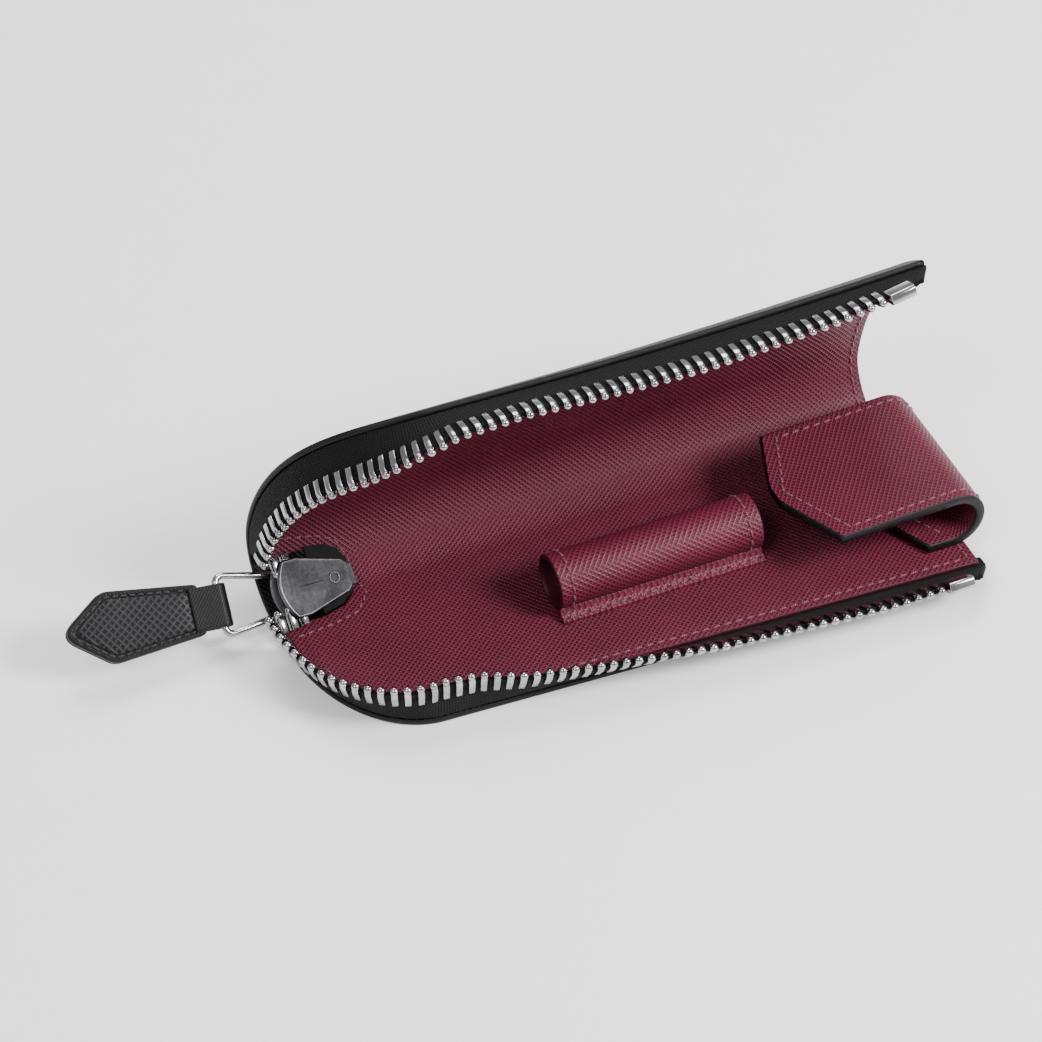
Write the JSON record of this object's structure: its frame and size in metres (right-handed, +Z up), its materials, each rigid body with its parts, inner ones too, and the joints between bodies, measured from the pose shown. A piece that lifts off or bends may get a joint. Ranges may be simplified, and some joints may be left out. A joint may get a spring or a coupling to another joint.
{
  "type": "fountain pen case",
  "caption": "Zip-round leather pen pouch standing open, with a pen loop and a turned-over tongue inside, metal zip, slider, ring and leather pull tab.",
  "frame": {"origin": "middle of the lower panel's underside, on the surface it stands on", "axes": "+X along the case towards its open end, +Y from the front edge to the back panel, +Z up"},
  "size_m": [0.1994, 0.073, 0.063],
  "materials": {
    "black_leather": "black cross-grained calf leather with painted edges",
    "burgundy_leather": "burgundy cross-grained calf leather",
    "board": "fibre board stiffener",
    "zip_tape": "black woven zip tape",
    "nickel": "polished nickel plating",
    "gunmetal": "dark satin plated metal"
  },
  "bodies": {
    "base": {"outer_leather_lower": "black_leather", "stiffener_lower": "board", "lining_lower": "burgundy_leather", "tape_lower": "zip_tape", "tape_end": "zip_tape", "teeth_lower": "nickel", "teeth_bow": "nickel", "top_stop_lower": "nickel", "bottom_stop": "nickel", "pen_loop": "burgundy_leather", "pen_loop_lining": "burgundy_leather", "pen_loop_flange": "burgundy_leather", "tongue_base": "burgundy_leather", "tongue_base_lining": "burgundy_leather"},
    "back_panel": {"outer_leather_back": "black_leather", "stiffener_back": "board", "lining_back": "burgundy_leather", "tape_back": "zip_tape", "teeth_back": "nickel", "top_stop_back": "nickel"},
    "tongue": {"tongue_face": "burgundy_leather", "tongue_lining": "burgundy_leather"},
    "slider": {"slider_body": "gunmetal", "slider_bridge": "gunmetal", "lock_spring": "nickel"},
    "pull_ring": {"pull_ring": "nickel"},
    "pull_tab": {"pull_tab_face": "black_leather", "pull_tab_back": "black_leather", "pull_tab_core": "board", "pull_tab_strap": "black_leather"}
  },
  "joints": [
    {"name": "spine_fold", "type": "hinge", "parent": "base", "child": "back_panel", "pos_m": [0, 0.02792, 0.00646], "axis": [1, 0, 0], "range_deg": [-30, 7]},
    {"name": "tongue_lift", "type": "hinge", "parent": "base", "child": "tongue", "pos_m": [0.0799, -0.00535, 0.01055], "axis": [0, 1, 0], "range_deg": [-5, 100]},
    {"name": "slider_run", "type": "slide", "parent": "base", "child": "slider", "axis": [-0.9613, -0.1772, 0.2111], "range_m": [0, 0.001]},
    {"name": "ring_swing", "type": "hinge", "parent": "slider", "child": "pull_ring", "pos_m": [-0.06823, 0.01914, 0.00616], "axis": [0, 0.766, 0.6428], "range_deg": [-4, 14]},
    {"name": "tab_swing", "type": "hinge", "parent": "pull_ring", "child": "pull_tab", "pos_m": [-0.08353, 0.01879, 0.00867], "axis": [0.0863, 0.7709, 0.631], "range_deg": [-10, 110]}
  ]
}
